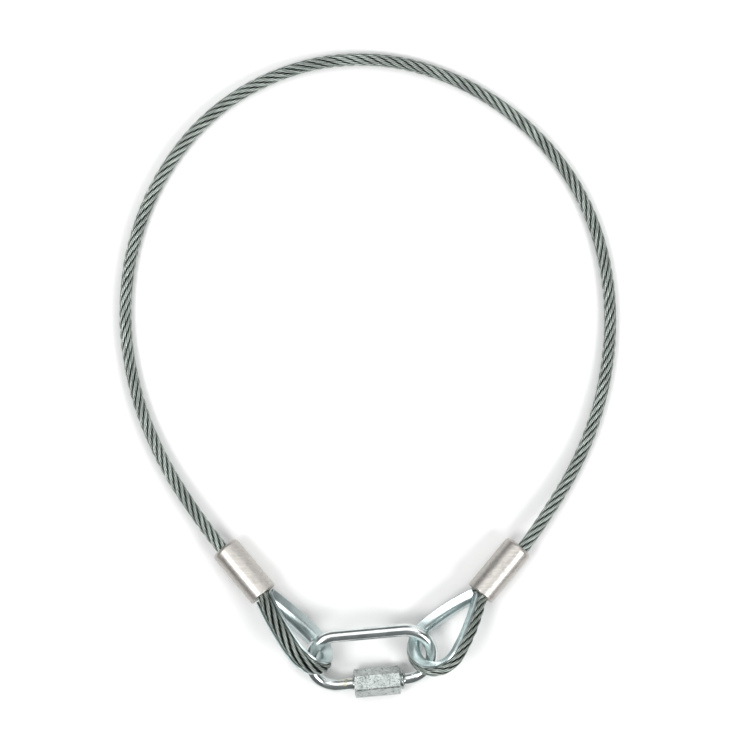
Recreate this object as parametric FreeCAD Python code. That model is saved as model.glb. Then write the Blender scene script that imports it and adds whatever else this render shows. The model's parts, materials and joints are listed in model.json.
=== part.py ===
import FreeCAD, Part

import math
import os

# Wire-rope safety sling closed by a quick link. Millimetres, +Z up.
# The sling lies on a table as an open ring. The origin is on the table, under the middle of the hardware
# (eyes, ferrules and link); +X runs from the left eye to the right eye and +Y across the ring.

# Rope
ROPE_D = 5.0
PRESSED_ROPE_D = 4.6  # each leg after the ferrule has been pressed on it

# Thimble eye, in its own frame: x runs from the round end to the ferrule, y to the raised leg
EYE_R = 11.0  # rope centre line round the end of the thimble
SIDE_R = 75.0  # rope centre line along the sides of the thimble
MOUTH_R = 7.0  # rope centre line where the legs part at the ferrule
MOUTH_X = 26.2  # ferrule face, from the centre of the round end
LEG_Y = 2.2  # each leg inside the ferrule, from its axis: the two are pressed into one another

# Thimble channel
SEAT_R = 2.55
SHEET_T = 1.0
SEAT_HALF_ANGLE = 55.0
FLANGE_L = 2.4
TIP_GAP = 0.3  # between the two ends of the thimble

# Ferrule
FERRULE_D = 11.8
FERRULE_L = 24.4
BACK_ROUND = 1.5
FRONT_ROUND = 0.6
SOCKET_D = 5.1
ROPE_SOCKET = 1.6  # depth at which the free rope, still round, meets the pressed leg
TAIL_GAP = 2.2  # from the cut end of the dead leg to the ferrule's back face

# Quick link, in its own frame: x along the bars, y from the bar with the nut to the plain bar
ROD_D = 5.0
BEND_R = 10.9
BAR_HALF = 13.4  # half of a straight bar
THREAD_D = 4.8
GATE = 5.0  # clear gap between the two rod ends, which the nut bridges
GATE_RIGHT = 8.9  # face of the fixed threaded end
THREAD_LEFT = -7.4  # where the long thread runs out
THREAD_RIGHT = 12.6  # where the short thread runs out
END_CHAMFER = 0.5

# Sleeve nut, shut
NUT_FLATS = 10.0
NUT_LEFT = -7.4
NUT_RIGHT = 11.0
NUT_CHAMFER = 0.9
NUT_TURN = 28.0  # how far the nut is turned on the rod (degrees)
BOSS_D = 7.4
BOSS_L = 1.2
NUT_BORE_D = 4.9
RELIEF_D = 5.6  # smooth bore that slides over the plain rod and onto the bend
RELIEF_L = 8.4

# Place and attitude of the eyes and the link on the table (degrees)
LEFT_EYE = dict(centre=(-26.1, -10.5, 12.9), heading=130.3, drop=7.0, tilt=70.0, raised_side=1)
RIGHT_EYE = dict(centre=(25.95, -10.25, 11.6), heading=49.8, drop=6.0, tilt=40.5, raised_side=-1)
LINK_CENTRE = (-0.5, -15.7, 9.6)
LINK_YAW = 5.0
LINK_PITCH = 1.7
LINK_ROLL = 21.0

CORNER_SHARE = 0.45  # of the shorter run, taken by the arc at each corner of the route

# Free rope, from the left ferrule round the ring to the right ferrule
ROUTE = [
    (-58.29, 26.3, 8.98),
    (-77.8, 49.8, 5.3),
    (-95.9, 89.9, 3.3),
    (-99.7, 131.4, 2.5),
    (-88.7, 170.5, 2.5),
    (-63.6, 203.2, 2.5),
    (-26.6, 221.6, 2.5),
    (13.5, 222.4, 2.5),
    (51.7, 205.6, 2.5),
    (81.1, 175.8, 2.5),
    (95.1, 138.3, 2.6),
    (94.9, 96.8, 3.1),
    (80.5, 54.5, 4.3),
    (58.78, 26.01, 7.9),
]

X = FreeCAD.Vector(1, 0, 0)
Y = FreeCAD.Vector(0, 1, 0)
Z = FreeCAD.Vector(0, 0, 1)
ORIGIN = FreeCAD.Vector(0, 0, 0)


def polar(radius, degrees, centre=ORIGIN):
    """A point in the local xy plane at a radius and an angle round a centre."""
    angle = math.radians(degrees)
    return centre + FreeCAD.Vector(radius * math.cos(angle), radius * math.sin(angle), 0)


def frame_placement(origin, x_axis, y_axis):
    """The placement that carries a local frame to an origin and two of its axes."""
    z_axis = x_axis.cross(y_axis)
    matrix = FreeCAD.Matrix(
        x_axis.x, y_axis.x, z_axis.x, origin.x,
        x_axis.y, y_axis.y, z_axis.y, origin.y,
        x_axis.z, y_axis.z, z_axis.z, origin.z,
        0, 0, 0, 1,
    )
    return FreeCAD.Placement(matrix)


def eye_placement(eye):
    """An eye's frame: x drops towards the ferrule, y leans up over the outer side of the ring."""
    heading = math.radians(eye["heading"])
    drop = math.radians(eye["drop"])
    tilt = math.radians(eye["tilt"])
    along = FreeCAD.Vector(math.cos(heading), math.sin(heading), 0)
    outward = FreeCAD.Vector(-along.y, along.x, 0) * eye["raised_side"]
    x_axis = along * math.cos(drop) - Z * math.sin(drop)
    up = along * math.sin(drop) + Z * math.cos(drop)
    y_axis = outward * math.cos(tilt) + up * math.sin(tilt)
    return frame_placement(FreeCAD.Vector(*eye["centre"]), x_axis, y_axis)


def link_placement():
    """The quick link's frame: its plain bar lies higher than the bar with the nut."""
    turn = FreeCAD.Rotation(Z, LINK_YAW) * FreeCAD.Rotation(Y, LINK_PITCH) * FreeCAD.Rotation(X, LINK_ROLL)
    return FreeCAD.Placement(FreeCAD.Vector(*LINK_CENTRE), turn)


def eye_arcs():
    """The joints of the eye's centre line on its raised side, as centres and angles.

    Three arcs touch one another: the mouth bend at the ferrule, the long side and the round end.
    """
    mouth = FreeCAD.Vector(MOUTH_X, LEG_Y + MOUTH_R, 0)
    reach = SIDE_R - EYE_R
    along_normal = ((SIDE_R + MOUTH_R) ** 2 - reach**2 - mouth.Length**2) / (2 * reach)
    mouth_angle = math.degrees(math.atan2(mouth.y, mouth.x))
    round_angle = mouth_angle + math.degrees(math.acos(along_normal / mouth.Length))
    side = polar(-reach, round_angle)
    to_mouth = mouth - side
    side_angle = math.degrees(math.atan2(to_mouth.y, to_mouth.x))
    return mouth, side, side_angle, round_angle


def mirrored(point):
    return FreeCAD.Vector(point.x, -point.y, point.z)


def turned(face, centre, radius, start, end):
    """A section turned about an upright axis, from one angle to another.

    The section lies in the local xy plane: its x points away from the axis, its y along it.
    """
    section = face.copy()
    section.translate(X * radius)
    section.rotate(ORIGIN, X, 90)
    section.rotate(ORIGIN, Z, start)
    section.translate(centre)
    return section.revolve(centre, Z, end - start)


def eye_rope():
    """The rope round one thimble and inside its ferrule, up to where the free rope begins."""
    mouth, side, side_angle, round_angle = eye_arcs()
    round_rope = Part.Face(Part.Wire(Part.Circle(ORIGIN, Z, ROPE_D / 2).toShape()))
    start = FreeCAD.Vector(MOUTH_X, LEG_Y, 0)
    live_l = FERRULE_L - ROPE_SOCKET
    dead_l = FERRULE_L - TAIL_GAP
    pieces = [
        turned(round_rope, mouth, MOUTH_R, side_angle + 180, 270),
        turned(round_rope, side, SIDE_R, side_angle, round_angle),
        turned(round_rope, mirrored(side), SIDE_R, -round_angle, -side_angle),
        turned(round_rope, mirrored(mouth), MOUTH_R, 90, 180 - side_angle),
        Part.makeCylinder(PRESSED_ROPE_D / 2, live_l, start, X),
        Part.makeCylinder(PRESSED_ROPE_D / 2, dead_l, mirrored(start), X),
    ]
    round_end = turned(round_rope, ORIGIN, EYE_R, round_angle, 360 - round_angle)
    return round_end.fuse(pieces).removeSplitter()


def channel_section():
    """The thimble's section in the plane x = distance from the rope's centre, y = across the channel."""
    half = SEAT_HALF_ANGLE
    flare = polar(FLANGE_L, 90 - half)
    seat_top = polar(SEAT_R, 180 - half)
    back_top = polar(SEAT_R + SHEET_T, 180 - half)
    seat_tip = seat_top + flare
    back_tip = back_top + flare
    edges = [
        Part.Arc(seat_top, polar(SEAT_R, 180), mirrored(seat_top)).toShape(),
        Part.makeLine(mirrored(seat_top), mirrored(seat_tip)),
        Part.makeLine(mirrored(seat_tip), mirrored(back_tip)),
        Part.makeLine(mirrored(back_tip), mirrored(back_top)),
        Part.Arc(mirrored(back_top), polar(SEAT_R + SHEET_T, 180), back_top).toShape(),
        Part.makeLine(back_top, back_tip),
        Part.makeLine(back_tip, seat_tip),
        Part.makeLine(seat_tip, seat_top),
    ]
    return Part.Face(Part.Wire(edges))


def thimble():
    """A pressed steel thimble: a round end and two sides whose cut ends meet in front of the ferrule."""
    _, side, side_angle, round_angle = eye_arcs()
    size = 3 * MOUTH_X
    high_half = Part.makeBox(size, size, size, FreeCAD.Vector(0, TIP_GAP / 2, -size / 2))
    low_half = Part.makeBox(size, size, size, FreeCAD.Vector(0, -size - TIP_GAP / 2, -size / 2))
    ferrule_room = Part.makeCylinder(FERRULE_D, FERRULE_L, FreeCAD.Vector(MOUTH_X, 0, 0), X)
    channel = channel_section()
    high_side = turned(channel, side, SIDE_R, side_angle, round_angle).common(high_half)
    low_side = turned(channel, mirrored(side), SIDE_R, -round_angle, -side_angle).common(low_half)
    round_end = turned(channel, ORIGIN, EYE_R, round_angle, 360 - round_angle)
    body = round_end.fuse([high_side, low_side]).cut(ferrule_room)
    return body.removeSplitter()


def ferrule():
    """The pressed sleeve: rounded at the back, nearly square at the mouth, and filled by the two legs."""
    blank = Part.makeCylinder(FERRULE_D / 2, FERRULE_L, FreeCAD.Vector(MOUTH_X, 0, 0), X)
    middle = MOUTH_X + FERRULE_L / 2
    rims = [edge for edge in blank.Edges if edge.Closed]
    back = [edge for edge in rims if edge.CenterOfMass.x > middle]
    front = [edge for edge in rims if edge.CenterOfMass.x < middle]
    sleeve = blank.makeFillet(BACK_ROUND, back).makeFillet(FRONT_ROUND, front)
    socket_face = FreeCAD.Vector(MOUTH_X + FERRULE_L - ROPE_SOCKET, LEG_Y, 0)
    socket = Part.makeCylinder(SOCKET_D / 2, 2 * ROPE_SOCKET, socket_face, X)
    return sleeve.cut(eye_rope()).cut(socket)


def rod_between(start, end, diameter):
    """A straight stretch of the link's rod on the nut side, from one x to another."""
    base = FreeCAD.Vector(start, -BEND_R, 0)
    return Part.makeCylinder(diameter / 2, end - start, base, X)


def rod_end(face_x, inward):
    """A chamfered rod end: a short cone from its face to the full thread."""
    face = FreeCAD.Vector(face_x, -BEND_R, 0)
    small = THREAD_D / 2 - END_CHAMFER
    return Part.makeCone(small, THREAD_D / 2, END_CHAMFER, face, X * inward)


def link_body():
    """One rod bent to a long ring, cut open on the nut side and threaded at both ends."""
    round_rod = Part.Face(Part.Wire(Part.Circle(ORIGIN, Z, ROD_D / 2).toShape()))
    gate_left = GATE_RIGHT - GATE
    top_start = FreeCAD.Vector(-BAR_HALF, BEND_R, 0)
    pieces = [
        turned(round_rod, X * BAR_HALF, BEND_R, -90, 90),
        turned(round_rod, X * -BAR_HALF, BEND_R, 90, 270),
        rod_between(-BAR_HALF, THREAD_LEFT, ROD_D),
        rod_between(THREAD_LEFT, gate_left - END_CHAMFER, THREAD_D),
        rod_end(gate_left, -1),
        rod_end(GATE_RIGHT, 1),
        rod_between(GATE_RIGHT + END_CHAMFER, THREAD_RIGHT, THREAD_D),
        rod_between(THREAD_RIGHT, BAR_HALF, ROD_D),
    ]
    top_bar = Part.makeCylinder(ROD_D / 2, 2 * BAR_HALF, top_start, X)
    return top_bar.fuse(pieces).removeSplitter()


def link_nut():
    """The sleeve nut, shut: a hexagon with chamfered ends, a short boss and a stepped bore."""
    length = NUT_RIGHT - NUT_LEFT
    corner_r = NUT_FLATS / math.sqrt(3)
    base = FreeCAD.Vector(NUT_LEFT, -BEND_R, 0)
    corners = [FreeCAD.Vector(0, *polar(corner_r, 60 * k)[:2]) for k in range(7)]
    hexagon = Part.Face(Part.makePolygon(corners)).extrude(X * length)
    small = corner_r - NUT_CHAMFER
    slope = NUT_CHAMFER / 2
    rise = [(0, 0), (0, small), (slope, corner_r)]
    fall = [(length - x, r) for x, r in reversed(rise)]
    outline = [FreeCAD.Vector(x, r, 0) for x, r in rise + fall + rise[:1]]
    turned_blank = Part.Face(Part.makePolygon(outline))
    turned_blank = turned_blank.revolve(ORIGIN, X, 360)
    boss = Part.makeCylinder(BOSS_D / 2, BOSS_L, X * length, X)
    bore = Part.makeCylinder(NUT_BORE_D / 2, length + BOSS_L, ORIGIN, X)
    relief = Part.makeCylinder(RELIEF_D / 2, RELIEF_L, ORIGIN, X)
    nut = hexagon.common(turned_blank).fuse(boss).cut(bore.fuse(relief)).removeSplitter()
    nut.rotate(ORIGIN, X, -NUT_TURN)
    nut.translate(base)
    return nut


def free_rope():
    """The free run of rope as straight runs joined by tangent arcs."""
    points = [FreeCAD.Vector(*point) for point in ROUTE]
    edges = []
    radii = []
    last = points[0]
    for before, corner, after in zip(points, points[1:], points[2:]):
        back = before - corner
        ahead = after - corner
        half_turn = (math.pi - back.getAngle(ahead)) / 2
        cut = CORNER_SHARE * min(back.Length, ahead.Length)
        radius = cut / math.tan(half_turn)
        radii.append(round(radius, 1))
        back.normalize()
        ahead.normalize()
        start = corner + back * cut
        end = corner + ahead * cut
        inward = back + ahead
        inward.normalize()
        middle = corner + inward * (radius / math.cos(half_turn) - radius)
        edges.append(Part.LineSegment(last, start).toShape())
        edges.append(Part.Arc(start, middle, end).toShape())
        last = end
    edges.append(Part.LineSegment(last, points[-1]).toShape())
    path = Part.Wire(edges)
    section = Part.Wire(Part.Circle(points[0], points[1] - points[0], ROPE_D / 2).toShape())
    rope = path.makePipeShell([section], True, True)
    expected = math.pi * ROPE_D**2 / 4 * path.Length
    print("free rope: length", round(path.Length, 1), "bend radii", radii)
    print("free rope: volume over section times length", round(rope.Volume / expected, 4))
    return rope


def placed(shape, placement):
    result = shape.copy()
    result.transformShape(placement.toMatrix())
    return result


def main():
    os.makedirs("parts", exist_ok=True)
    nodes = {"wire_rope": free_rope()}
    for side, eye in (("left", LEFT_EYE), ("right", RIGHT_EYE)):
        placement = eye_placement(eye)
        nodes[f"rope_eye_{side}"] = placed(eye_rope(), placement)
        nodes[f"thimble_{side}"] = placed(thimble(), placement)
        nodes[f"ferrule_{side}"] = placed(ferrule(), placement)
    nodes["link_body"] = placed(link_body(), link_placement())
    nodes["link_nut"] = placed(link_nut(), link_placement())
    for name, shape in nodes.items():
        print(name, shape.isValid(), len(shape.Solids), round(shape.Volume, 1))
        shape.exportStep(f"parts/{name}.step")


if __name__ == "__main__":
    main()
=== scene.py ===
import json
import math

import bmesh
import bpy
import numpy as np
from mathutils import Matrix, Vector


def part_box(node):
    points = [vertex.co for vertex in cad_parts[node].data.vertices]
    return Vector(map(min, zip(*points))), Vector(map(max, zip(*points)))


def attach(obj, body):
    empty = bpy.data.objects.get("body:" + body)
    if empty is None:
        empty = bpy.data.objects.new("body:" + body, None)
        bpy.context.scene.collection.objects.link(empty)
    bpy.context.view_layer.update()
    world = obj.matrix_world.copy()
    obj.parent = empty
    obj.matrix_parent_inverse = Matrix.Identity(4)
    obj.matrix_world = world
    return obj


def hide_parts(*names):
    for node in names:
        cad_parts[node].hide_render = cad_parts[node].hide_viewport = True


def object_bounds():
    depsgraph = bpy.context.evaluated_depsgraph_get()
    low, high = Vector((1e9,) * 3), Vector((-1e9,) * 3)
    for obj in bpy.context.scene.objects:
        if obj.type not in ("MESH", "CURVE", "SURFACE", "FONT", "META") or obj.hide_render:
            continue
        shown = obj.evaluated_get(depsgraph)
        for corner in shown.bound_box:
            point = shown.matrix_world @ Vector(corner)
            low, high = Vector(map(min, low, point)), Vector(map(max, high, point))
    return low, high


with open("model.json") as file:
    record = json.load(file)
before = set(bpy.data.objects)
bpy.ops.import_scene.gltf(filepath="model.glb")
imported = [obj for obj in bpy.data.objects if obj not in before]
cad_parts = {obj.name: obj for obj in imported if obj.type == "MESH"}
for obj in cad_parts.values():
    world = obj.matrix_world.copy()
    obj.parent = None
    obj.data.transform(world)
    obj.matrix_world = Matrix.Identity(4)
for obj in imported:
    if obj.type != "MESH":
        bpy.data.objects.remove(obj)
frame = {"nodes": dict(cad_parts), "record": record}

bl_info = {
    "name": "Wire rope sling maker",
    "version": (1, 0, 0),
    "blender": (4, 5, 0),
    "location": "View3D > Sidebar > Sling",
    "description": "Makes a wire rope sling with two thimble eyes joined by a quick link",
    "category": "Add Mesh",
}

CAD_BOX = [list(corner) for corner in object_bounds()]
MM = 0.001
TURN = 2 * math.pi

# The free rope's route from the left ferrule round the ring to the right ferrule
ROUTE = [
    (-0.05829, 0.0263, 0.00898),
    (-0.0778, 0.0498, 0.0053),
    (-0.0959, 0.0899, 0.0033),
    (-0.0997, 0.1314, 0.0025),
    (-0.0887, 0.1705, 0.0025),
    (-0.0636, 0.2032, 0.0025),
    (-0.0266, 0.2216, 0.0025),
    (0.0135, 0.2224, 0.0025),
    (0.0517, 0.2056, 0.0025),
    (0.0811, 0.1758, 0.0025),
    (0.0951, 0.1383, 0.0026),
    (0.0949, 0.0968, 0.0031),
    (0.0805, 0.0545, 0.0043),
    (0.05878, 0.02601, 0.0079),
]

# Softboxes: name, place from the middle of the sling, width and depth, power
LIGHTS = [
    ("far softbox", (0.0, 0.52, 1.3), (2.2, 1.25), 13.5),
    ("left softbox", (-0.60, -0.38, 1.2), (0.55, 0.5), 9.0),
    ("right softbox", (0.84, -0.62, 1.0), (0.55, 0.5), 10.0),
    ("low softbox", (1.1, 1.2, 0.55), (1.5, 1.0), 4.5),
]
SURROUND = ((0.94, 0.97, 1.0, 1.0), 0.18)  # colour and strength of the light from all sides


# Sizes and colours that a user may change


def length(name, description, default):
    """A size in metres, shown in the panel."""
    return bpy.props.FloatProperty(
        name=name, description=description, default=default, min=0.0, precision=5, unit="LENGTH"
    )


def colour(name, description, default):
    """A colour, shown in the panel."""
    return bpy.props.FloatVectorProperty(
        name=name, description=description, default=default, size=3, min=0.0, max=1.0, subtype="COLOR"
    )


class RopeSettings(bpy.types.PropertyGroup):
    diameter: length("Diameter", "Rope measured over its strands", 5.0 * MM)
    strands: bpy.props.IntProperty(name="Strands", description="Strands laid round the core", default=6)
    wires: bpy.props.IntProperty(name="Wires", description="Outer wires in each strand", default=6)
    lay: length("Lay", "Length in which a strand goes once round the rope, right-handed", 28.0 * MM)
    open_lay: length("Opened lay", "Lay of the strands in the left eye, where they have opened", 42.0 * MM)
    wire_lay: length("Wire lay", "Length in which a wire goes once round its strand, left-handed", 13.0 * MM)
    step: length("Step", "Distance between the rings of points along the free rope", 0.9 * MM)
    eye_step: length("Eye step", "Distance between the rings of points along the eyes", 0.55 * MM)
    seat_wide: length("Width in the thimble", "Rope spread across the thimble's channel", 5.9 * MM)
    seat_deep: length("Depth in the thimble", "Rope squeezed into the thimble's channel", 4.6 * MM)
    pressed: length("Pressed leg", "Each leg where the ferrule holds it", 4.6 * MM)
    crown: colour("Wire colour", "Dull zinc on the wires' crowns", (0.46, 0.515, 0.476))
    # Groove colour: grease together with painted shade; it fills the valleys between wires, the strands'
    # sides that face the core, and the core.
    groove: colour("Groove colour", "Old grease and dirt between strands and wires", (0.012, 0.017, 0.015))


class EyeSettings(bpy.types.PropertyGroup):
    round_radius: length("Round end", "Rope centre line round the end of the thimble", 11.0 * MM)
    side_radius: length("Sides", "Rope centre line along the thimble's sides", 75.0 * MM)
    mouth_radius: length("Mouth bend", "Rope centre line where the legs part at the ferrule", 7.0 * MM)
    mouth: length("Ferrule face", "From the centre of the round end to the ferrule", 26.2 * MM)
    leg: length("Leg offset", "Each leg inside the ferrule, from its axis", 2.2 * MM)
    seat: length("Seat radius", "Inside radius of the thimble's channel", 2.55 * MM)
    sheet: length("Sheet", "Thickness of the thimble's steel", 1.0 * MM)
    seat_angle: bpy.props.FloatProperty(
        name="Seat angle", description="Half of the angle over which the channel is round",
        default=math.radians(55), subtype="ANGLE",
    )
    flange: length("Flange", "Straight flared edge of the channel", 2.4 * MM)
    lip: length("Lip", "Rounding of the flange's edges", 0.22 * MM)
    tip_gap: length("Tip gap", "Between the two ends of the thimble", 0.3 * MM)
    zinc: colour("Zinc colour", "Blue passivated zinc on the thimbles", (0.52, 0.60, 0.60))


class FerruleSettings(bpy.types.PropertyGroup):
    diameter: length("Diameter", "Over the pressed sleeve", 11.8 * MM)
    length: length("Length", "Of the pressed sleeve", 24.4 * MM)
    back_round: length("Back rounding", "Of the rim where the free rope leaves", 1.5 * MM)
    front_round: length("Front rounding", "Of the rim at the eye", 0.6 * MM)
    socket: length("Socket", "Hole round the free rope", 5.1 * MM)
    dent: length("Press marks", "Depth of the flats left by the press", 0.10 * MM)
    aluminium: colour("Aluminium colour", "Satin aluminium", (0.52, 0.495, 0.465))


class LinkSettings(bpy.types.PropertyGroup):
    rod: length("Rod", "Thickness of the bent rod", 5.0 * MM)
    bend: length("Bend", "Radius of the rod's centre line in the bends", 10.9 * MM)
    bar: length("Half bar", "Half of a straight bar", 13.4 * MM)
    thread: length("Thread", "Over the crests of the rod's thread", 4.8 * MM)
    thread_depth: length("Thread depth", "From the crests of the rod's thread to its roots", 0.38 * MM)
    runout: length("Runout", "Length over which the rod narrows to its thread", 0.5 * MM)
    chamfer: length("Chamfer", "Of the rod's two ends", 0.5 * MM)
    pitch: length("Pitch", "Of the thread", 0.8 * MM)
    gate: length("Gate", "Between the two rod ends", 5.0 * MM)
    gate_right: length("Fixed end", "Face of the fixed threaded end, from the middle", 8.9 * MM)
    thread_out: length("Long thread", "Where the long thread runs out, left of the middle", 7.4 * MM)
    thread_end: length("Short thread", "Where the short thread runs out, right of the middle", 12.6 * MM)
    zinc: colour("Zinc colour", "Bright zinc on the link", (0.70, 0.745, 0.735))
    stain: colour("Stain colour", "Yellowish stain on the rod beside the nut", (0.42, 0.34, 0.12))


class NutSettings(bpy.types.PropertyGroup):
    flats: length("Across flats", "Width of the hexagon", 10.0 * MM)
    length: length("Length", "Of the hexagon", 18.4 * MM)
    chamfer: length("Chamfer", "Of the hexagon's ends", 0.9 * MM)
    boss: length("Boss", "Diameter of the short boss at the fixed end", 7.4 * MM)
    boss_length: length("Boss length", "Of the short boss", 1.2 * MM)
    bore: length("Bore", "Inside the crests of the nut's thread", 4.9 * MM)
    thread_depth: length("Thread depth", "From the crests of the nut's thread to its roots", 0.28 * MM)
    relief: length("Relief", "Diameter of the smooth part of the bore", 5.6 * MM)
    relief_length: length("Relief length", "Of the smooth part of the bore", 8.4 * MM)
    lean: bpy.props.FloatProperty(
        name="Lean", description="Turn of the top flat from level", default=math.radians(7), subtype="ANGLE"
    )
    zinc: colour("Zinc colour", "Zinc over drawn hexagon bar", (0.47, 0.51, 0.495))


class StageSettings(bpy.types.PropertyGroup):
    camera_height: length("Camera height", "Of the camera over the table", 0.9)
    camera_right: length("Camera offset", "Of the camera, to the right of the origin", 1.2 * MM)
    field: length("Field", "Width of the table that the camera sees", 0.3)
    table_size: length("Table size", "Each side of the square table", 16.0)
    table: colour("Table colour", "Pale table", (0.86, 0.86, 0.855))


SETTINGS = {
    "sling_rope": RopeSettings,
    "sling_eye": EyeSettings,
    "sling_ferrule": FerruleSettings,
    "sling_link": LinkSettings,
    "sling_nut": NutSettings,
    "sling_stage": StageSettings,
}


# Shader nodes as Python sums


class Tap:
    """A shader node's output. Sums with it add Math nodes."""

    def __init__(self, finish, socket):
        self.finish = finish
        self.socket = socket

    def math(self, operation, *values):
        return self.finish.node("ShaderNodeMath", {"operation": operation}, dict(enumerate(values)))

    def __add__(self, other):
        return self.math("ADD", self, other)

    def __sub__(self, other):
        return self.math("SUBTRACT", self, other)

    def __rsub__(self, other):
        return self.math("SUBTRACT", other, self)

    def __mul__(self, other):
        return self.math("MULTIPLY", self, other)

    __radd__ = __add__
    __rmul__ = __mul__

    def between(self, low, high):
        """0 below low, 1 above high, and smooth in between."""
        settings = {"interpolation_type": "SMOOTHSTEP"}
        sockets = {"Value": self, "From Min": low, "From Max": high}
        return self.finish.node("ShaderNodeMapRange", settings, sockets)


class Finish:
    """A metal finish: a material whose shader is fed by nodes."""

    def __init__(self, name, metallic=1.0):
        self.material = bpy.data.materials.new(name)
        self.material.use_nodes = True
        self.tree = self.material.node_tree
        self.shader = self.tree.nodes["Principled BSDF"]
        self.shader.inputs["Metallic"].default_value = metallic

    def node(self, kind, settings=None, sockets=None, out=0):
        """Adds a node, sets it up, feeds its sockets and gives one of its outputs."""
        node = self.tree.nodes.new(kind)
        for key, value in (settings or {}).items():
            setattr(node, key, value)
        for key, value in (sockets or {}).items():
            self.feed(node.inputs[key], value)
        return Tap(self, node.outputs[out])

    def feed(self, socket, value):
        if isinstance(value, Tap):
            self.tree.links.new(value.socket, socket)
        elif socket.type == "RGBA" and len(value) == 3:
            socket.default_value = (*value, 1.0)
        else:
            socket.default_value = value

    def place(self, stretch=(1.0, 1.0, 1.0), turn=(0.0, 0.0, 0.0)):
        """The point on the piece, turned and stretched for the grain of a finish."""
        point = self.node("ShaderNodeTexCoord", out="Object")
        return self.node("ShaderNodeMapping", {}, {"Vector": point, "Rotation": turn, "Scale": stretch})

    def noise(self, point, scale, detail=2.0, roughness=0.5):
        sockets = {"Vector": point, "Scale": scale, "Detail": detail, "Roughness": roughness}
        return self.node("ShaderNodeTexNoise", {}, sockets)

    def mix(self, low, high, share):
        """From one colour to another."""
        settings = {"data_type": "RGBA"}
        return self.node("ShaderNodeMix", settings, {0: share, 6: low, 7: high}, out=2)

    def stored(self, name):
        """A number that was stored on the piece's points."""
        return self.node("ShaderNodeAttribute", {"attribute_name": name}, out="Fac")

    def finish(self, base, roughness, height, depth):
        """Feeds the shader with a colour, a roughness and a relief of some depth in metres."""
        self.feed(self.shader.inputs["Base Color"], base)
        self.feed(self.shader.inputs["Roughness"], roughness)
        relief = self.node("ShaderNodeBump", {}, {"Strength": 1.0, "Distance": depth, "Height": height})
        self.feed(self.shader.inputs["Normal"], relief)
        return self.material


def scaled(base, factor):
    return tuple(min(1.0, factor * part) for part in base)


def galvanised_wire(settings):
    """Dull, grey-green galvanised wire, with painted shade and grease in the grooves between the strands and
    wires.
    """
    finish = Finish("galvanised wire", metallic=0.85)
    point = finish.place()
    crown = finish.stored("crown")
    cloud = finish.noise(point, 130.0, 3.0)
    grain = finish.noise(point, 1900.0, 3.0, 0.6)
    dull = scaled(settings.crown, 0.72)
    base = finish.mix(dull, settings.crown, cloud.between(0.35, 0.65))
    base = finish.mix(base, scaled(settings.crown, 1.35), grain.between(0.52, 0.72) * crown)
    # Painted shade: where the stored crown value is low (valleys between wires, strands' sides facing the
    # core, the core), the groove colour takes over.
    base = finish.mix(settings.groove, base, crown.between(0.12, 0.80))
    roughness = 0.50 - 0.20 * crown + 0.14 * grain
    return finish.finish(base, roughness, grain, 0.03 * MM)


def blue_zinc(settings):
    """Blue passivated zinc over pressed steel, with faint clouds and fine scuffs."""
    finish = Finish("blue zinc")
    point = finish.place()
    cloud = finish.noise(point, 160.0, 3.0)
    speck = finish.noise(point, 1500.0, 4.0, 0.65)
    scuff = finish.noise(finish.place((1.0, 0.16, 1.0), (0.0, 0.0, 0.9)), 1400.0, 2.0)
    base = finish.mix(scaled(settings.zinc, 0.92), scaled(settings.zinc, 1.08), cloud.between(0.3, 0.7))
    base = finish.mix(base, scaled(settings.zinc, 0.7), speck.between(0.62, 0.78) * 0.5)
    roughness = 0.24 + 0.10 * cloud + 0.08 * scuff.between(0.5, 0.75)
    return finish.finish(base, roughness, speck * 0.5 + scuff * 0.5, 0.004 * MM)


def pressed_aluminium(name, settings, heading, blotches):
    """Satin aluminium with drag marks along the sleeve and soft blotches."""
    finish = Finish(name)
    drag = finish.noise(finish.place((0.07, 1.0, 1.0), (0.0, 0.0, -heading)), 1700.0, 3.0, 0.6)
    point = finish.place()
    blotch = finish.noise(point, 420.0, 4.0, 0.6)
    grit = finish.noise(point, 2600.0, 2.0)
    bare = settings.aluminium
    base = finish.mix(scaled(bare, 0.86), scaled(bare, 1.08), drag.between(0.3, 0.7))
    base = finish.mix(base, scaled(bare, 0.66), blotch.between(0.52, 0.72) * blotches)
    roughness = 0.26 + 0.12 * drag + 0.20 * blotch
    return finish.finish(base, roughness, drag * 0.7 + grit * 0.3, 0.02 * MM)


def bright_zinc(settings):
    """Bright zinc over smooth rod, with a faint yellowish stain beside the nut."""
    finish = Finish("bright zinc")
    point = finish.place()
    cloud = finish.noise(point, 210.0, 2.0)
    speck = finish.noise(point, 2400.0, 3.0)
    stain = finish.stored("stain") * finish.noise(point, 900.0, 3.0).between(0.38, 0.62)
    base = finish.mix(scaled(settings.zinc, 0.90), scaled(settings.zinc, 1.10), cloud.between(0.3, 0.7))
    base = finish.mix(base, settings.stain, stain * 0.75)
    roughness = 0.13 + 0.10 * cloud + 0.25 * stain
    return finish.finish(base, roughness, speck, 0.006 * MM)


def drawn_hexagon(settings):
    """Zinc over drawn bar: clouded, with fine dark pits, and rougher where the pits are."""
    finish = Finish("drawn hexagon")
    point = finish.place()
    pit = finish.noise(point, 1500.0, 4.0, 0.6)
    cloud = finish.noise(point, 330.0, 2.0)
    dark = pit.between(0.50, 0.64)
    base = finish.mix(scaled(settings.zinc, 0.86), scaled(settings.zinc, 1.06), cloud.between(0.35, 0.65))
    base = finish.mix(base, scaled(settings.zinc, 0.16), dark * 0.75)
    roughness = 0.14 + 0.10 * cloud + 0.24 * dark
    return finish.finish(base, roughness, 1.0 - dark, 0.02 * MM)


def pale_table(settings):
    """A matt pale table."""
    finish = Finish("pale table", metallic=0.0)
    grain = finish.noise(finish.place(), 300.0, 2.0)
    base = finish.mix(scaled(settings.table, 0.995), scaled(settings.table, 1.0), grain)
    return finish.finish(base, 0.7 + 0.1 * grain, grain, 0.002 * MM)


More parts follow.
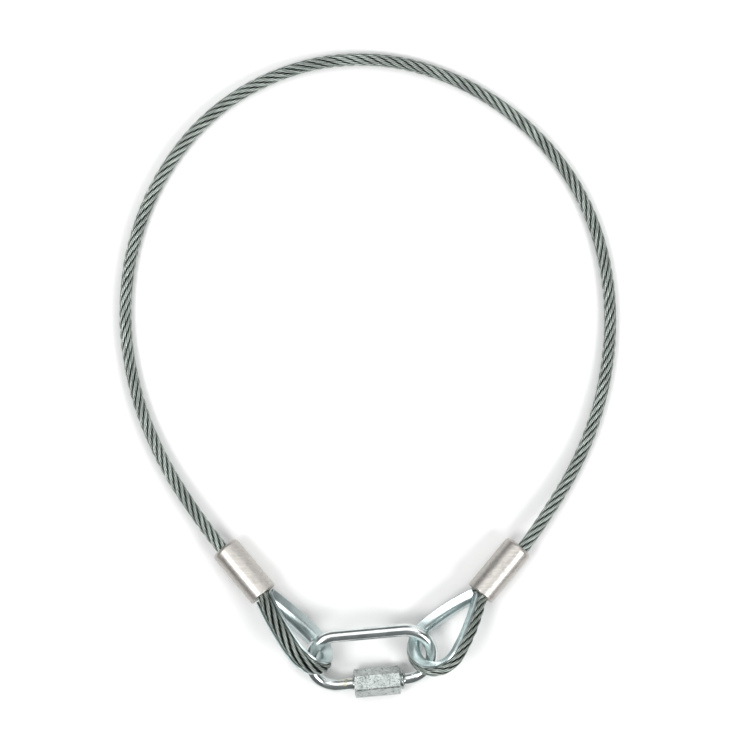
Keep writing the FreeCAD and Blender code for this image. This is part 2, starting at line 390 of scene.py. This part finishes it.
# Frames of the pieces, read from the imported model


def flat_normal(node):
    """The direction in which a flat, symmetrical CAD node is thinnest."""
    mesh = frame["nodes"][node].data
    areas = np.empty(len(mesh.polygons), np.float32)
    centres = np.empty(3 * len(mesh.polygons), np.float32)
    mesh.polygons.foreach_get("area", areas)
    mesh.polygons.foreach_get("center", centres)
    centres = centres.reshape(-1, 3).astype(float)
    spread = centres - np.average(centres, axis=0, weights=areas)
    _, axes = np.linalg.eigh((spread * areas[:, None]).T @ spread)
    return Vector(axes[:, 0])


def mount(name):
    return next(m for m in frame["record"]["mounts"] if m["name"] == name)


def local_frame(origin, x_axis, y_axis):
    """The matrix of a frame with two of its axes."""
    x_axis = x_axis.normalized()
    y_axis = (y_axis - x_axis * y_axis.dot(x_axis)).normalized()
    z_axis = x_axis.cross(y_axis)
    turn = Matrix((x_axis, y_axis, z_axis)).transposed().to_4x4()
    return Matrix.Translation(origin) @ turn


def eye_frame(side):
    """An eye's frame: x to the ferrule, y to the leg that lies higher."""
    bearing = mount(f"{side}_eye_bearing")
    x_axis = Vector(bearing["axis"])
    centre = Vector(bearing["pos_m"]) + x_axis * bearing["dims"]["r_mm"] * MM
    y_axis = flat_normal(f"thimble_{side}").cross(x_axis)
    return local_frame(centre, x_axis, y_axis if y_axis.z > 0 else -y_axis)


def link_frame(bend):
    """The link's frame: x along the bars, y from the nut's bar to the plain bar."""
    plain = mount("link_plain_bar")
    x_axis = Vector(plain["axis"])
    bar = Vector(plain["pos_m"])
    y_axis = flat_normal("link_body").cross(x_axis)
    low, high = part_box("link_body")
    if y_axis.dot(bar - (low + high) / 2) < 0:
        y_axis = -y_axis
    place = local_frame(bar, x_axis, y_axis)
    return place @ Matrix.Translation((0.0, -bend, 0.0))


# Meshes


def tube_faces(rings, around, first=0, capped=True):
    """Faces that join rings of points into a tube, seen from outside, with its ends closed."""
    ring = around * np.arange(rings - 1)[:, None] + first
    here = np.arange(around)[None, :]
    after = (here + 1) % around
    quads = np.stack([ring + here, ring + after, ring + around + after, ring + around + here], axis=-1)
    faces = quads.reshape(-1, 4).tolist()
    if capped:
        last = first + around * (rings - 1)
        faces.append(list(range(first + around - 1, first - 1, -1)))
        faces.append(list(range(last, last + around)))
    return faces


def make_piece(name, points, faces, material, sharp=None):
    """A mesh object with smooth shading, and sharp edges above an angle."""
    mesh = bpy.data.meshes.new(name)
    mesh.from_pydata(np.asarray(points).reshape(-1, 3).tolist(), [], faces)
    mesh.validate()
    mesh.shade_smooth()
    if sharp:
        mesh.set_sharp_from_angle(angle=sharp)
    mesh.materials.append(material)
    piece = bpy.data.objects.new(name, mesh)
    bpy.context.scene.collection.objects.link(piece)
    return piece


def store(piece, name, values):
    """Stores a number on each point, for the finish to read."""
    attribute = piece.data.attributes.new(name, "FLOAT", "POINT")
    attribute.data.foreach_set("value", np.asarray(values, np.float32).ravel())


def settle(piece, body, node):
    """Hangs a finished piece on its body in the place of a CAD node."""
    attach(piece, body)
    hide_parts(node)


def smooth_line(points):
    """The points of the smooth line that a route of control points guides."""
    curve = bpy.data.curves.new("route", "CURVE")
    curve.dimensions = "3D"
    curve.resolution_u = 48
    spline = curve.splines.new("NURBS")
    spline.points.add(len(points) - 1)
    for control, point in zip(spline.points, points):
        control.co = (*point, 1.0)
    spline.order_u = 3
    spline.use_endpoint_u = True
    guide = bpy.data.objects.new("route", curve)
    bpy.context.scene.collection.objects.link(guide)
    bpy.context.view_layer.update()
    mesh = bpy.data.meshes.new_from_object(guide.evaluated_get(bpy.context.evaluated_depsgraph_get()))
    line = np.array([vertex.co for vertex in mesh.vertices])
    bpy.data.meshes.remove(mesh)
    bpy.data.objects.remove(guide)
    bpy.data.curves.remove(curve)
    return line


def even_steps(line, step):
    """Points at even steps along a line, and how far along each one lies."""
    gone = np.concatenate([[0.0], np.cumsum(np.linalg.norm(np.diff(line, axis=0), axis=1))])
    count = max(8, round(gone[-1] / step) + 1)
    marks = np.linspace(0.0, gone[-1], count)
    return np.stack([np.interp(marks, gone, line[:, k]) for k in range(3)], axis=1), marks


def unit(vectors):
    return vectors / np.linalg.norm(vectors, axis=-1, keepdims=True)


def steady_sides(line, tangents, first):
    """A sideways direction at each point of a line, carried along without twist."""
    sides = np.empty_like(line)
    side = np.array(first, float)
    for k, tangent in enumerate(tangents):
        side = side - tangent * side.dot(tangent)
        side /= np.linalg.norm(side)
        sides[k] = side
    return sides


# Each outer wire of a strand: share of its width, height over the strand's radius, and crown value (low in
# the valley, where the finish paints shade)
WIRE_SHAPE = ((0.0, 0.60, 0.0), (0.26, 0.93, 0.72), (0.5, 1.0, 1.0), (0.74, 0.93, 0.72))


def lay_rope(line, gone, sides, deep, wide, lay, settings):
    """Points, faces and crown values of strands laid round a line; low crown values paint shade between the
    wires, on the strands' sides that face the core, and on the core.

    deep and wide are the rope's thickness along its sides and across them, at each point of the line.
    """
    strands = settings.strands
    wires = settings.wires
    strand_r = settings.diameter / 2 / (1 + 1 / math.sin(math.pi / strands)) * 0.985
    core_r = settings.diameter / 2 - 1.8 * strand_r
    tangents = unit(np.gradient(line, axis=0))
    across = np.cross(tangents, sides)
    deep = np.broadcast_to(deep, gone.shape) / 2
    wide = np.broadcast_to(wide, gone.shape) / 2
    share, height, on_wire = (np.tile(values, wires) for values in zip(*WIRE_SHAPE))
    count = len(share)
    spots = TURN / wires * (np.arange(count) // len(WIRE_SHAPE) + share)
    profile = height * strand_r
    points = []
    crowns_and_shade = []
    faces = []
    for strand in range(strands):
        angle = TURN * (strand / strands + gone / lay)
        reach = (np.cos(angle) * (deep - strand_r))[:, None] * sides
        reach += (np.sin(angle) * (wide - strand_r))[:, None] * across
        centre = line + reach
        along = unit(np.gradient(centre, axis=0))
        out = unit(reach - along * np.sum(reach * along, axis=1, keepdims=True))
        round_it = np.cross(along, out)
        twist = spots[None, :] - TURN * (gone / settings.wire_lay)[:, None]
        ring = centre[:, None, :] + (profile * np.cos(twist))[..., None] * out[:, None, :]
        ring += (profile * np.sin(twist))[..., None] * round_it[:, None, :]
        # Painted shade: each strand's side that faces the core gets a low crown value, and so is darkened.
        facing = np.clip(0.22 + 0.95 * np.cos(twist), 0.0, 1.0)
        faces += tube_faces(len(line), count, first=sum(len(p) for p in points))
        points.append(ring.reshape(-1, 3))
        crowns_and_shade.append((facing * (0.12 + 0.88 * on_wire)).ravel())
    spokes = TURN * np.arange(12) / 12
    core = line[:, None, :] + core_r * (
        np.cos(spokes)[None, :, None] * sides[:, None, :] + np.sin(spokes)[None, :, None] * across[:, None, :]
    )
    every = slice(None, None, 3)
    core = core[every]
    faces += tube_faces(len(core), len(spokes), first=sum(len(p) for p in points))
    points.append(core.reshape(-1, 3))
    # Painted shade: the core's crown value is 0, so it takes the dark groove colour.
    crowns_and_shade.append(np.zeros(core.shape[0] * core.shape[1]))
    return np.concatenate(points), faces, np.concatenate(crowns_and_shade)


# The eye's lines, in its own frame

LEG_IN_FERRULE = 5.0 * MM  # how far the eye's rope is modelled into the ferrule
SPREADING = 7.0 * MM  # run from the ferrule over which the rope spreads into the channel
PAST_TIP = 2.9 * MM  # run of channel swept beyond the thimble's tips, before they are trimmed


def arc(centre, radius, start, end, step):
    """Points along an arc in the plane of the eye, and the directions away from its centre."""
    count = max(3, round(abs(end - start) * radius / step) + 1)
    angles = np.linspace(start, end, count)
    away = np.stack([np.cos(angles), np.sin(angles), np.zeros(count)], axis=1)
    return np.array([*centre, 0.0]) + radius * away, away


def eye_arcs(settings):
    """Where the eye's round end, its sides and its mouth bends meet on the raised side."""
    mouth = np.array([settings.mouth, settings.leg + settings.mouth_radius])
    reach = settings.side_radius - settings.round_radius
    size = np.linalg.norm(mouth)
    slant = ((settings.side_radius + settings.mouth_radius) ** 2 - reach**2 - size**2) / (2 * reach)
    round_angle = math.atan2(mouth[1], mouth[0]) + math.acos(slant / size)
    side = -reach * np.array([math.cos(round_angle), math.sin(round_angle)])
    side_angle = math.atan2(mouth[1] - side[1], mouth[0] - side[0])
    return mouth, side, side_angle, round_angle


def folded(points, away):
    """A half line on the raised side and its mirror image, as one line."""
    flip = np.array([1.0, -1.0, 1.0])
    return np.concatenate([points, (points * flip)[-2::-1]]), np.concatenate([away, (away * flip)[-2::-1]])


def eye_line(settings, step):
    """The rope's centre line round the thimble, from inside the ferrule and back into it."""
    mouth, side, side_angle, round_angle = eye_arcs(settings)
    count = round(LEG_IN_FERRULE / step)
    leg = np.stack([
        np.linspace(settings.mouth + LEG_IN_FERRULE, settings.mouth, count, endpoint=False),
        np.full(count, settings.leg),
        np.zeros(count),
    ], axis=1)
    bend, toward = arc(mouth, settings.mouth_radius, math.radians(270), side_angle + math.pi, step)
    flank, out = arc(side, settings.side_radius, side_angle, round_angle, step)
    nose, ahead = arc((0.0, 0.0), settings.round_radius, round_angle, math.pi, step)
    points = np.concatenate([leg, bend[:-1], flank[:-1], nose])
    upward = np.tile([0.0, 1.0, 0.0], (count, 1))
    away = np.concatenate([upward, -toward[:-1], out[:-1], ahead])
    return folded(points, away)


def channel_outline(settings):
    """The thimble's section: outward from the rope's centre, and across the channel."""
    half = settings.seat_angle
    flare = settings.flange * np.array([math.sin(half), math.cos(half)])
    thick = settings.seat + settings.sheet
    turn = math.pi - half

    def bowl(radius, start, end, count):
        angles = np.linspace(start, end, count)
        return radius * np.stack([np.cos(angles), np.sin(angles)], axis=1)

    groove = bowl(settings.seat, turn, TURN - turn, 17)
    back = bowl(thick, TURN - turn, turn, 23)
    mirror = np.array([1.0, -1.0])

    def lip(corner_in, corner_out):
        """The flange's edge, with both of its corners rounded."""
        edge = unit(corner_out - corner_in)
        ahead = unit(flare)
        r = settings.lip
        points = []
        for corner, turned in ((corner_in, edge), (corner_out, -edge)):
            middle = corner + (turned - ahead) * r
            angles = np.linspace(0.0, math.pi / 2, 5)
            spots = [middle - turned * r * math.cos(a) + ahead * r * math.sin(a) for a in angles]
            points += spots if corner is corner_in else spots[::-1]
        return np.array(points)

    rim = lip(groove[0] + flare, back[-1] + flare)
    run = np.linspace(0.0, 1.0, 6)[1:-1, None]
    in_run = groove[0] + run * (rim[0] - groove[0])
    out_run = rim[-1] + run * (back[-1] - rim[-1])
    half_loop = np.concatenate([in_run, rim, out_run])
    lower = (half_loop * mirror)[::-1]
    return np.concatenate([groove[:1], half_loop, back[::-1][:-1], back[:1], lower, groove[::-1][:-1]])


def cut_flat(mesh, vertices, point, normal):
    """Cuts away the part of some vertices' faces that lies beyond a plane, and closes the cut."""
    faces = {face for vertex in vertices for face in vertex.link_faces}
    edges = {edge for face in faces for edge in face.edges}
    corners = {vertex for face in faces for vertex in face.verts}
    geometry = [*corners, *edges, *faces]
    cut = bmesh.ops.bisect_plane(mesh, geom=geometry, plane_co=point, plane_no=normal, clear_outer=True)
    rim = [item for item in cut["geom_cut"] if isinstance(item, bmesh.types.BMEdge)]
    bmesh.ops.holes_fill(mesh, edges=rim)


def round_edges(piece, width, angle):
    """Rounds a piece's edges that are sharper than an angle."""
    bevel = piece.modifiers.new("rounding", "BEVEL")
    bevel.width = width
    bevel.segments = 2
    bevel.limit_method = "ANGLE"
    bevel.angle_limit = angle
    apply_modifiers(piece)


def apply_modifiers(piece):
    """Replaces a piece's mesh by its mesh with all modifiers applied."""
    shaped = piece.evaluated_get(bpy.context.evaluated_depsgraph_get())
    mesh = bpy.data.meshes.new_from_object(shaped)
    old = piece.data
    piece.modifiers.clear()
    piece.data = mesh
    mesh.name = old.name
    bpy.data.meshes.remove(old)


def take_away(piece, cutters):
    """Cuts the shapes of other meshes out of a piece."""
    for number, cutter in enumerate(cutters):
        hole = piece.modifiers.new(f"hole {number}", "BOOLEAN")
        hole.operation = "DIFFERENCE"
        hole.solver = "EXACT"
        hole.object = cutter
    apply_modifiers(piece)
    for cutter in cutters:
        bpy.data.objects.remove(cutter)


def wheel(count):
    """Directions spread evenly round a circle, as cosines and sines."""
    angles = TURN * np.arange(count) / count
    return np.stack([np.cos(angles), np.sin(angles)], axis=1)


def thread_wave(along, around, pitch):
    """How deep a right-hand thread is: 0 on its crest and 1 at its root.

    around is the angle from the link's y axis to its z axis.
    """
    turn = (along / pitch - around / TURN) % 1.0
    return np.clip(np.abs(2.0 * turn - 1.0) * 1.25 - 0.125, 0.0, 1.0)


def thimble_points(settings):
    """The pressed channel swept round the eye, in the eye's frame, as points and faces."""
    _, side, side_angle, round_angle = eye_arcs(settings)
    step = 0.55 * MM
    reach = PAST_TIP / settings.side_radius
    flank, out = arc(side, settings.side_radius, side_angle - reach, round_angle, step)
    nose, ahead = arc((0.0, 0.0), settings.round_radius, round_angle, math.pi, step)
    line, away = folded(np.concatenate([flank[:-1], nose]), np.concatenate([out[:-1], ahead]))
    outline = channel_outline(settings)
    rings = line[:, None, :] + outline[None, :, :1] * away[:, None, :]
    rings = rings + outline[None, :, 1:] * np.array([0.0, 0.0, 1.0])
    return rings, tube_faces(len(line), len(outline))


# Makers


class PieceMaker:
    """What every maker's operator shares."""

    bl_options = {"REGISTER", "UNDO"}

    @classmethod
    def poll(cls, context):
        return context.scene is not None


class SLING_OT_free_rope(PieceMaker, bpy.types.Operator):
    """Lay the free run of rope round the ring"""

    bl_idname = "sling.free_rope"
    bl_label = "Free rope"

    def execute(self, context):
        rope = context.scene.sling_rope
        path = smooth_line(ROUTE)
        line, gone = even_steps(path, rope.step)
        tangents = unit(np.gradient(line, axis=0))
        sides = steady_sides(line, tangents, (0.0, 0.0, 1.0))
        points, faces, crowns_and_shade = lay_rope(line, gone, sides, rope.diameter, rope.diameter, rope.lay, rope)
        piece = make_piece("rope_strands", points, faces, galvanised_wire(rope))
        store(piece, "crown", crowns_and_shade)
        settle(piece, "sling", "wire_rope")
        return {"FINISHED"}


class SLING_OT_eye_ropes(PieceMaker, bpy.types.Operator):
    """Lay the rope round both thimbles, spread in their channels"""

    bl_idname = "sling.eye_ropes"
    bl_label = "Rope in the eyes"

    def execute(self, context):
        rope = context.scene.sling_rope
        eye = context.scene.sling_eye
        bend, away = eye_line(eye, rope.eye_step)
        line, gone = even_steps(bend, rope.eye_step)
        marks = np.linspace(0.0, gone[-1], len(away))
        sides = np.stack([np.interp(gone, marks, away[:, k]) for k in range(3)], axis=1)
        tangents = unit(np.gradient(line, axis=0))
        sides = unit(sides - tangents * np.sum(sides * tangents, axis=1, keepdims=True))
        from_end = np.minimum(gone, gone[-1] - gone)
        held = np.clip((from_end - LEG_IN_FERRULE) / SPREADING, 0.0, 1.0)
        held = held * held * (3 - 2 * held)
        wide = rope.pressed + held * (rope.seat_wide - rope.pressed)
        deep = rope.pressed + held * (rope.seat_deep - rope.pressed) - 0.2 * MM
        material = galvanised_wire(rope)
        for side, lay in (("left", rope.open_lay), ("right", rope.lay)):
            points, faces, crowns_and_shade = lay_rope(line, gone, sides, deep, wide, lay, rope)
            piece = make_piece(f"eye_strands_{side}", points, faces, material)
            store(piece, "crown", crowns_and_shade)
            piece.data.transform(eye_frame(side))
            settle(piece, "sling", f"rope_eye_{side}")
        return {"FINISHED"}


class SLING_OT_thimbles(PieceMaker, bpy.types.Operator):
    """Press both thimbles"""

    bl_idname = "sling.thimbles"
    bl_label = "Thimbles"

    def execute(self, context):
        eye = context.scene.sling_eye
        rings, faces = thimble_points(eye)
        material = blue_zinc(eye)
        for side in ("left", "right"):
            piece = make_piece(f"thimble_{side}_pressing", rings, faces, material)
            self.trim_tips(piece.data, eye)
            round_edges(piece, 0.12 * MM, math.radians(42))
            piece.data.transform(eye_frame(side))
            settle(piece, "sling", f"thimble_{side}")
        return {"FINISHED"}

    def trim_tips(self, data, eye):
        """Cuts the channel's two ends where they meet in front of the ferrule."""
        mesh = bmesh.new()
        mesh.from_mesh(data)
        half = len(mesh.verts) // 2
        past = [vertex for vertex in mesh.verts if vertex.co.x > eye.mouth * 0.5]
        legs = {
            1: [vertex for vertex in past if vertex.index < half],
            -1: [vertex for vertex in past if vertex.index >= half],
        }
        for leg, near in legs.items():
            cut_flat(mesh, near, (0.0, leg * eye.tip_gap / 2, 0.0), (0.0, -leg, 0.0))
        mesh.to_mesh(data)
        mesh.free()


class SLING_OT_ferrules(PieceMaker, bpy.types.Operator):
    """Press both ferrules on the rope's legs"""

    bl_idname = "sling.ferrules"
    bl_label = "Ferrules"

    def execute(self, context):
        eye = context.scene.sling_eye
        sleeve = context.scene.sling_ferrule
        rope = context.scene.sling_rope
        for side, blotches in (("left", 0.35), ("right", 0.8)):
            place = eye_frame(side)
            axis = place.to_3x3() @ Vector((1.0, 0.0, 0.0))
            heading = math.atan2(axis.y, axis.x)
            material = pressed_aluminium(f"aluminium {side}", sleeve, heading, blotches)
            rings = self.sleeve_rings(eye, sleeve)
            piece = make_piece(f"ferrule_{side}_sleeve", rings, tube_faces(*rings.shape[:2]), material)
            depth = 4.0 * MM
            back = eye.mouth + sleeve.length
            leg_r = rope.pressed / 2 + 0.05 * MM
            take_away(piece, [
                self.drill("leg", leg_r, (eye.mouth - depth, eye.mouth + depth), eye.leg, material),
                self.drill("leg", leg_r, (eye.mouth - depth, eye.mouth + depth), -eye.leg, material),
                self.drill("socket", sleeve.socket / 2, (back - depth, back + depth), eye.leg, material),
            ])
            piece.data.set_sharp_from_angle(angle=math.radians(40))
            piece.data.transform(place)
            settle(piece, "sling", f"ferrule_{side}")
        return {"FINISHED"}

    def sleeve_rings(self, eye, sleeve):
        """Rings of points along the sleeve, with rounded rims and the flats that the press leaves."""
        count = 96
        around = wheel(count)
        full = sleeve.diameter / 2
        spots = []
        for turn in np.linspace(0.0, math.pi / 2, 9):
            r = sleeve.front_round
            spots.append((r * (1 - math.cos(turn)), full - r * (1 - math.sin(turn))))
        for share in np.linspace(0.0, 1.0, 45)[1:-1]:
            first = sleeve.front_round
            last = sleeve.length - sleeve.back_round
            spots.append((first + share * (last - first), full))
        for turn in np.linspace(math.pi / 2, 0.0, 13):
            r = sleeve.back_round
            spots.append((sleeve.length - r * (1 - math.cos(turn)), full - r * (1 - math.sin(turn))))
        spots = np.array([(0.0, full * share) for share in (0.12, 0.4, 0.7, 0.86)] + spots
                         + [(sleeve.length, full * share) for share in (0.6, 0.4, 0.12)])
        along, radius = spots[:, 0], spots[:, 1]
        middle = np.sin(np.clip(along / sleeve.length, 0, 1) * math.pi) ** 0.5
        press = 0.5 - 0.5 * np.cos(2 * TURN * np.arange(count) / count)
        ridge = np.maximum(0.0, 1.0 - np.abs(np.arange(count) % (count // 2) - count // 4) / 1.6)
        shape = 1.0 - (press[None, :] * 0.45 - ridge[None, :] * 0.35) * middle[:, None] * sleeve.dent / full
        rings = np.zeros((len(spots), count, 3))
        rings[..., 0] = eye.mouth + along[:, None]
        rings[..., 1:] = (radius[:, None] * shape)[..., None] * around[None]
        return rings

    def drill(self, name, radius, span, offset, material):
        """A round cutter along the sleeve."""
        count = 48
        around = wheel(count)
        rings = np.zeros((2, count, 3))
        rings[..., 0] = np.array(span)[:, None]
        rings[..., 1:] = radius * around + np.array([offset, 0.0])
        return make_piece(name, rings, tube_faces(2, count), material)


class SLING_OT_link_body(PieceMaker, bpy.types.Operator):
    """Bend the quick link's rod and cut its threads"""

    bl_idname = "sling.link_body"
    bl_label = "Quick link"

    def execute(self, context):
        link = context.scene.sling_link
        line, away = self.rod_line(link)
        gone = np.concatenate([[0.0], np.cumsum(np.linalg.norm(np.diff(line, axis=0), axis=1))])
        total = gone[-1]
        short_end = link.thread_end - link.gate_right
        long_end = link.gate_right - link.gate + link.thread_out
        full = link.rod / 2
        crest = link.thread / 2
        count = 56
        angles = TURN * np.arange(count) / count
        from_start = np.clip((gone - short_end) / link.runout, 0.0, 1.0)
        from_end = np.clip((total - gone - long_end) / link.runout, 0.0, 1.0)
        plain = np.minimum(from_start, from_end)
        ends = np.minimum(gone, total - gone)
        chamfer = np.clip(link.chamfer - ends, 0.0, None)
        radius = crest + plain * (full - crest) - chamfer
        wave = thread_wave(line[:, :1], math.pi - angles[None, :], link.pitch) * (1 - plain)[:, None]
        fade = np.clip(1 - chamfer / (0.8 * link.chamfer), 0.0, 1.0)
        radius = radius[:, None] - wave * link.thread_depth * fade[:, None]
        rings = line[:, None, :] + (radius * np.cos(angles))[..., None] * away[:, None, :]
        rings += (radius * np.sin(angles))[..., None] * np.array([0.0, 0.0, 1.0])
        faces = tube_faces(*rings.shape[:2])
        piece = make_piece("link_rod", rings, faces, bright_zinc(link), math.radians(50))
        beside_nut = np.exp(-(((rings[..., 0] + link.thread_out + 3.2 * MM) / (2.0 * MM)) ** 2))
        beside_nut *= (rings[..., 1] > -link.bend + 0.8 * MM) * (rings[..., 1] < 0.0)
        store(piece, "stain", beside_nut)
        piece.data.transform(link_frame(link.bend))
        settle(piece, "link", "link_body")
        return {"FINISHED"}

    def rod_line(self, link):
        """The rod's centre line from the fixed threaded end round to the long thread, in fine steps."""
        fine = link.pitch / 11
        coarse = 0.5 * MM
        left = link.gate_right - link.gate

        def bar(start, end, height, step):
            count = max(2, round(abs(end - start) / step) + 1)
            x = np.linspace(start, end, count)
            points = np.stack([x, np.full(count, height), np.zeros(count)], axis=1)
            away = np.tile([0.0, math.copysign(1.0, height), 0.0], (count, 1))
            return points, away

        def bend(middle, start, end):
            return arc((middle, 0.0), link.bend, start, end, coarse * 0.6)

        short = link.thread_end + 0.6 * MM
        long = -link.thread_out - 0.6 * MM
        runs = [
            bar(link.gate_right, short, -link.bend, fine),
            bar(short, link.bar, -link.bend, coarse),
            bend(link.bar, -math.pi / 2, math.pi / 2),
            bar(link.bar, -link.bar, link.bend, coarse),
            bend(-link.bar, math.pi / 2, math.pi * 1.5),
            bar(-link.bar, long, -link.bend, coarse),
            bar(long, left, -link.bend, fine),
        ]
        points = np.concatenate([run[0][:-1] for run in runs] + [runs[-1][0][-1:]])
        away = np.concatenate([run[1][:-1] for run in runs] + [runs[-1][1][-1:]])
        return points, away


class SLING_OT_link_nut(PieceMaker, bpy.types.Operator):
    """Turn the quick link's sleeve nut from hexagon bar"""

    bl_idname = "sling.link_nut"
    bl_label = "Sleeve nut"

    def execute(self, context):
        link = context.scene.sling_link
        nut = context.scene.sling_nut
        angles = self.corner_angles()
        along, radius = self.outside(nut, angles)
        place = link_frame(link.bend)
        upright = place.to_3x3().inverted() @ Vector((0.0, 0.0, 1.0))
        flat = math.atan2(upright.z, upright.y) - nut.lean
        inner_along, inner_radius = self.inside(nut, link, angles + flat)
        along = np.concatenate([along, inner_along])
        radius = np.concatenate([radius, inner_radius])
        rings = np.zeros((len(along), len(angles), 3))
        rings[..., 0] = along[:, None] - link.thread_out
        rings[..., 1] = radius * np.cos(angles + flat) - link.bend
        rings[..., 2] = radius * np.sin(angles + flat)
        faces = tube_faces(*rings.shape[:2], capped=False)
        count = len(angles)
        last = count * (len(along) - 1)
        faces += [[last + k, last + (k + 1) % count, (k + 1) % count, k] for k in range(count)]
        piece = make_piece("link_sleeve_nut", rings, faces, drawn_hexagon(nut), math.radians(40))
        piece.data.transform(place)
        settle(piece, "nut", "link_nut")
        return {"FINISHED"}

    def corner_angles(self):
        """Angles round the hexagon, closer together at its corners, from the middle of a flat."""
        share = np.linspace(-1.0, 1.0, 17)[:-1]
        bent = np.sign(share) * (1 - (1 - np.abs(share)) ** 2.2)
        sector = TURN / 6
        return np.concatenate([sector * k + bent * sector / 2 for k in range(6)])

    def hexagon(self, nut, angles):
        """The hexagon's radius at each angle, with slightly rounded corners."""
        sharpness = 46
        total = sum(np.abs(np.cos(angles - k * TURN / 6)) ** sharpness for k in range(3))
        return nut.flats / 2 / total ** (1 / sharpness)

    def outside(self, nut, angles):
        """The nut's outer surface from the bore at its left end to the bore at its boss."""
        corner = nut.flats / math.sqrt(3)
        six = self.hexagon(nut, angles)
        spots = []
        bevel = nut.chamfer
        for share in (0.0, 0.5, 0.9, 1.0):
            start = nut.relief / 2 + 0.15 * MM
            spots.append((0.0, start + share * (corner - bevel - start), False))
        slope = np.concatenate([np.linspace(0.05, 0.6, 10), [0.8, 1.1, 1.6]]) * MM
        spots += [(x, corner - bevel + 2 * x, True) for x in slope]
        spots += [(x, corner * 2, True) for x in np.linspace(2.2 * MM, nut.length - 2.2 * MM, 24)]
        spots += [(nut.length - x, corner - bevel + 2 * x, True) for x in slope[::-1]]
        spots.append((nut.length, corner - bevel, False))
        boss = nut.boss / 2
        end = nut.length + nut.boss_length
        for x, r in (
            (nut.length, boss + 0.5 * MM), (nut.length + 0.02 * MM, boss - 0.30 * MM),
            (nut.length + 0.28 * MM, boss - 0.30 * MM), (nut.length + 0.36 * MM, boss - 0.05 * MM),
            (nut.length + 0.45 * MM, boss), (end - 0.25 * MM, boss), (end - 0.08 * MM, boss - 0.07 * MM),
            (end, boss - 0.25 * MM), (end, nut.bore / 2 + 0.35 * MM),
        ):
            spots.append((x, r, False))
        along = np.array([spot[0] for spot in spots])
        limit = np.array([spot[1] for spot in spots])[:, None]
        sharpness = 60
        shaped = ((1 / limit) ** sharpness + (1 / six[None, :]) ** sharpness) ** (-1 / sharpness)
        hexed = np.array([spot[2] for spot in spots])[:, None]
        return along, np.where(hexed, shaped, limit)

    def inside(self, nut, link, angles):
        """The threaded bore from the boss, cut deeper at its roots, and the smooth relief at the left."""
        end = nut.length + nut.boss_length
        threaded = np.arange(end - 0.1 * MM, nut.relief_length, -0.08 * MM)
        marks = np.concatenate([threaded, np.linspace(nut.relief_length - 0.05 * MM, 0.12 * MM, 10)])
        wave = thread_wave(threaded[:, None] - link.thread_out, angles[None, :], link.pitch)
        fade = np.clip((end - threaded) / (0.8 * MM), 0.0, 1.0)[:, None]
        thread = nut.bore / 2 + nut.thread_depth * (1 - fade * wave)
        smooth = np.full((10, len(angles)), nut.relief / 2)
        return marks, np.concatenate([thread, smooth])


class SLING_OT_stage(PieceMaker, bpy.types.Operator):
    """Set the table, the lights and the camera"""

    bl_idname = "sling.stage"
    bl_label = "Table, lights and camera"

    def execute(self, context):
        stage = context.scene.sling_stage
        low, high = (Vector(corner) for corner in CAD_BOX)
        middle = (low + high) / 2
        half = stage.table_size / 2
        corners = np.array([(-half, -half, 0.0), (half, -half, 0.0), (half, half, 0.0), (-half, half, 0.0)])
        corners += np.array([middle.x, middle.y, low.z])
        table = make_piece("table", corners, [[0, 1, 2, 3]], pale_table(stage))
        self.add_lights(context, middle)
        self.add_camera(context, stage, middle, low.z)
        return {"FINISHED"}

    def add_lights(self, context, middle):
        for name, place, size, power in LIGHTS:
            lamp = bpy.data.lights.new(name, "AREA")
            lamp.shape = "RECTANGLE"
            lamp.size, lamp.size_y = size
            lamp.energy = power
            light = bpy.data.objects.new(name, lamp)
            light.location = middle + Vector(place)
            light.rotation_euler = (middle - light.location).to_track_quat("-Z", "Y").to_euler()
            context.scene.collection.objects.link(light)
        world = context.scene.world or bpy.data.worlds.new("studio")
        context.scene.world = world
        world.use_nodes = True
        background = world.node_tree.nodes["Background"]
        background.inputs["Color"].default_value, background.inputs["Strength"].default_value = SURROUND
        context.scene.view_settings.view_transform = "Standard"

    def add_camera(self, context, stage, middle, ground):
        camera = bpy.data.cameras.new("camera")
        camera.sensor_width = 36.0
        camera.lens = camera.sensor_width * stage.camera_height / stage.field
        camera.clip_start = 0.05
        holder = bpy.data.objects.new("camera", camera)
        holder.location = (stage.camera_right, middle.y, ground + stage.camera_height)
        context.scene.collection.objects.link(holder)
        context.scene.camera = holder


class SLING_PT_makers(bpy.types.Panel):
    """The sling's makers in the 3D view's sidebar"""

    bl_label = "Wire rope sling"
    bl_idname = "SLING_PT_makers"
    bl_space_type = "VIEW_3D"
    bl_region_type = "UI"
    bl_category = "Sling"

    def draw(self, context):
        for maker in MAKERS:
            self.layout.operator(maker.bl_idname)
        for name, group in SETTINGS.items():
            box = self.layout.box()
            for key in group.__annotations__:
                box.prop(getattr(context.scene, name), key)


MAKERS = (
    SLING_OT_stage,
    SLING_OT_free_rope,
    SLING_OT_eye_ropes,
    SLING_OT_thimbles,
    SLING_OT_ferrules,
    SLING_OT_link_body,
    SLING_OT_link_nut,
)


def register():
    for group in (*SETTINGS.values(), *MAKERS, SLING_PT_makers):
        bpy.utils.register_class(group)
    for name, group in SETTINGS.items():
        setattr(bpy.types.Scene, name, bpy.props.PointerProperty(type=group))


def unregister():
    for name in SETTINGS:
        delattr(bpy.types.Scene, name)
    for group in (SLING_PT_makers, *reversed(MAKERS), *reversed(SETTINGS.values())):
        bpy.utils.unregister_class(group)


def main():
    register()
    for maker in MAKERS:
        family, name = maker.bl_idname.split(".")
        getattr(getattr(bpy.ops, family), name)()


if __name__ == "__main__":
    main()
